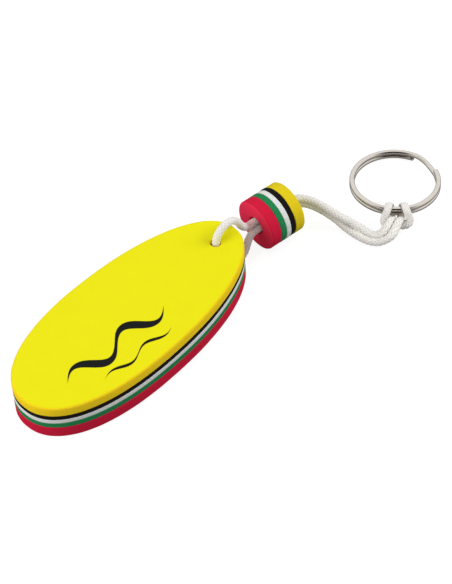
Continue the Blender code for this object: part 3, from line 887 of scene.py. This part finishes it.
def make_ring():
    """Wind the flat wire through its two turns and seat it in the hitch."""
    ring = settings().ring
    radius = (ring.diameter - ring.wire_width) / 2
    rise = ring.wire_height + ring.turn_gap
    sweep = 4 * math.pi - STEP_SWEEP - 2 * END_GAP
    turned = END_GAP + np.linspace(0, sweep, WIRE_RINGS)
    part = np.clip((turned - (math.tau - STEP_SWEEP)) / STEP_SWEEP, 0, 1)
    z = rise * (smooth_step(part) - 0.5)
    shrink = np.ones(len(turned))
    for index, (back, size) in enumerate(WIRE_ENDS):
        shrink[index] = shrink[-1 - index] = size
        turned[index] = END_GAP + back / radius
        turned[-1 - index] = END_GAP + sweep - back / radius
    angle = STEP_START + STEP_SWEEP + turned
    section = wire_section(ring)
    out = radius + section[None, :, 0] * shrink[:, None]
    co = np.stack([out * np.cos(angle)[:, None] - radius, out * np.sin(angle)[:, None],
                   z[:, None] + section[None, :, 1] * shrink[:, None]], axis=2)
    mesh = rings_to_mesh("wound_ring", co.reshape(-1, 3), len(turned), len(section), False)
    add_round_map(mesh, len(section), turned, radius / WIRE_PER_UNIT)
    mesh.transform(Matrix.Translation(HITCH_PLACE) @ ring_turn().to_4x4())
    new_piece(mesh, nickel_material(), Matrix.Identity(4), ["split_ring"], "ring")


# Studio

def make_camera():
    """Set the camera at the photographed angle."""
    studio = settings().studio
    data = bpy.data.cameras.new("camera")
    data.sensor_fit = "HORIZONTAL"
    data.sensor_width = SENSOR_WIDTH
    data.lens = studio.camera_lens
    data.clip_start, data.clip_end = 0.01, 20.0
    camera = link_object("camera", data)
    azimuth, elevation = studio.camera_azimuth, studio.camera_elevation
    forward = Vector((-math.sin(azimuth) * math.cos(elevation),
                      math.cos(azimuth) * math.cos(elevation), -math.sin(elevation)))
    right = forward.cross(Vector((0, 0, 1))).normalized()
    up = right.cross(forward)
    turn_right = right * math.cos(studio.camera_roll) - up * math.sin(studio.camera_roll)
    turn_up = right * math.sin(studio.camera_roll) + up * math.cos(studio.camera_roll)
    place = CAMERA_TARGET - forward * studio.camera_distance
    rotation = Matrix((turn_right, turn_up, -forward)).transposed().to_4x4()
    camera.matrix_world = Matrix.Translation(place) @ rotation
    bpy.context.scene.camera = camera


def make_lamp(name, place, size, power):
    """Add one square soft lamp that points at the middle of the floor."""
    data = bpy.data.lights.new(name, "AREA")
    data.shape = "SQUARE"
    data.size = size
    data.energy = power
    lamp = link_object(name, data)
    lamp.visible_glossy = False
    lamp.location = place
    lamp.rotation_euler = (-Vector(place)).to_track_quat("-Z", "Y").to_euler()


def seen_share(tree, rays, mirrored):
    """1 for rays from the camera or through glass, and a share for mirrored ones."""
    glossy = maths(tree, "MULTIPLY", rays["Is Glossy Ray"], mirrored)
    seen = maths(tree, "MAXIMUM", rays["Is Camera Ray"], glossy)
    return maths(tree, "MAXIMUM", seen, rays["Is Transmission Ray"])


def make_floor():
    """Lay the plain pale floor, which the camera sees as white under the soft shadow."""
    studio = settings().studio
    mesh = bpy.data.meshes.new("floor")
    half = FLOOR_HALF
    mesh.from_pydata([(-half, -half, 0), (half, -half, 0), (half, half, 0), (-half, half, 0)],
                     [], [(0, 1, 2, 3)])
    material, tree, shader = new_material("pale_floor")
    shader.inputs["Base Color"].default_value = (*studio.floor_colour, 1.0)
    shader.inputs["Roughness"].default_value = 0.9
    shader.inputs["Specular IOR Level"].default_value = 0.0
    seen = seen_share(tree, tree.nodes.new("ShaderNodeLightPath").outputs, 0.1)
    glow = add_node(tree, "ShaderNodeEmission", {
        "Color": WHITE, "Strength": maths(tree, "MULTIPLY", seen, studio.floor_lift)})
    both = add_node(tree, "ShaderNodeAddShader", {0: shader.outputs[0], 1: glow.outputs[0]})
    tree.links.new(both.outputs[0], tree.nodes["Material Output"].inputs["Surface"])
    mesh.materials.append(material)
    floor = link_object("floor", mesh)
    floor.location = (0, 0, -FLOOR_DROP)


def turned_to(tree, heading, direction):
    """How far a heading is turned to a direction, from -1 to 1."""
    node = add_node(tree, "ShaderNodeVectorMath", {0: heading, 1: direction},
                    operation="DOT_PRODUCT")
    return node.outputs["Value"]


def make_sky():
    """Light the scene evenly, with white all round except a dim room towards one side."""
    studio = settings().studio
    world = bpy.data.worlds.new("studio")
    bpy.context.scene.world = world
    world.use_nodes = True
    tree = world.node_tree
    rays = tree.nodes.new("ShaderNodeLightPath").outputs
    seen = seen_share(tree, rays, 1.0)
    level = maths(tree, "MULTIPLY_ADD", seen, 1.0 - studio.sky, studio.sky)
    heading = tree.nodes.new("ShaderNodeTexCoord").outputs["Generated"]
    side = maths(tree, "ABSOLUTE", turned_to(tree, heading, BRIGHT_SIDES))
    side = ramp(tree, side, 0.35, 0.75, "SMOOTHSTEP")
    room = ramp(tree, turned_to(tree, heading, ROOM_SIDE), -0.05, 0.15, "SMOOTHSTEP")
    dim = maths(tree, "MULTIPLY", rays["Is Glossy Ray"], room)
    dim = maths(tree, "SUBTRACT", dim, side, clamp=True)
    colour = mix_colour(tree, dim, WHITE, (*studio.room_colour, 1.0))
    tree.links.new(colour, tree.nodes["Background"].inputs["Color"])
    tree.links.new(level, tree.nodes["Background"].inputs["Strength"])


# Operators

class KEYCHAIN_OT_float(bpy.types.Operator):
    """Make the float's five layers"""

    bl_idname = "keychain.make_float"
    bl_label = "Make Float"

    def execute(self, context):
        foam = context.scene.keychain.foam
        hole = (np.array((HOLE_X, 0.0)), HOLE_RADIUS)
        finish = {"mouth": HOLE_MOUTH, "dish": foam.dish_depth, "face_steps": FLOAT_FACE}
        make_block("foam_float_", float_outline(foam, FLOAT_POINTS), hole, float_matrix(),
                   finish, 0.0, FLOAT_SEED)
        return {"FINISHED"}


class KEYCHAIN_OT_bead(bpy.types.Operator):
    """Make the bead's five layers"""

    bl_idname = "keychain.make_bead"
    bl_label = "Make Bead"

    def execute(self, context):
        foam = context.scene.keychain.foam
        finish = {"mouth": BORE_MOUTH, "dish": 0.0, "face_steps": BEAD_FACE}
        make_block("foam_bead_", round_outline(foam.bead_diameter, BEAD_POINTS),
                   (np.zeros(2), BORE_RADIUS), bead_matrix(), finish, BEAD_TRIM, BEAD_SEED)
        return {"FINISHED"}


class KEYCHAIN_OT_cord(bpy.types.Operator):
    """Make the braided cord"""

    bl_idname = "keychain.make_cord"
    bl_label = "Make Cord"

    def execute(self, context):
        make_cord()
        return {"FINISHED"}


class KEYCHAIN_OT_ring(bpy.types.Operator):
    """Make the split ring"""

    bl_idname = "keychain.make_ring"
    bl_label = "Make Split Ring"

    def execute(self, context):
        make_ring()
        return {"FINISHED"}


class KEYCHAIN_OT_studio(bpy.types.Operator):
    """Set up the camera, the lamps, the floor and the sky"""

    bl_idname = "keychain.make_studio"
    bl_label = "Make Studio"

    def execute(self, context):
        context.scene.view_settings.view_transform = "Standard"
        make_camera()
        make_floor()
        make_sky()
        studio = context.scene.keychain.studio
        make_lamp("key_lamp", KEY_PLACE, KEY_SIZE, studio.key)
        make_lamp("fill_lamp", FILL_PLACE, FILL_SIZE, studio.fill)
        return {"FINISHED"}


class KEYCHAIN_PT_sidebar(bpy.types.Panel):
    """The keychain's operators and settings"""

    bl_idname = "KEYCHAIN_PT_sidebar"
    bl_label = "Floating Keychain"
    bl_space_type = "VIEW_3D"
    bl_region_type = "UI"
    bl_category = "Keychain"

    def draw(self, context):
        layout = self.layout
        for operator in OPERATORS:
            layout.operator(operator.bl_idname)
        for group in (settings().foam, settings().cord, settings().ring, settings().studio):
            box = layout.box()
            for name in group.bl_rna.properties.keys():
                if name not in {"rna_type", "name"}:
                    box.prop(group, name)


OPERATORS = (KEYCHAIN_OT_float, KEYCHAIN_OT_bead, KEYCHAIN_OT_cord, KEYCHAIN_OT_ring,
             KEYCHAIN_OT_studio)
CLASSES = (FoamSettings, CordSettings, RingSettings, StudioSettings, KeychainSettings,
           *OPERATORS, KEYCHAIN_PT_sidebar)


def register():
    """Register the classes and add the settings to the scene."""
    for item in CLASSES:
        bpy.utils.register_class(item)
    bpy.types.Scene.keychain = PointerProperty(type=KeychainSettings)


def unregister():
    """Take the settings off the scene and unregister the classes."""
    del bpy.types.Scene.keychain
    for item in reversed(CLASSES):
        bpy.utils.unregister_class(item)


def main():
    """Make every piece and the studio."""
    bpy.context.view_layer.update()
    register()
    bpy.ops.keychain.make_studio()
    bpy.ops.keychain.make_cord()
    bpy.ops.keychain.make_float()
    bpy.ops.keychain.make_bead()
    bpy.ops.keychain.make_ring()


if __name__ == "__main__":
    main()
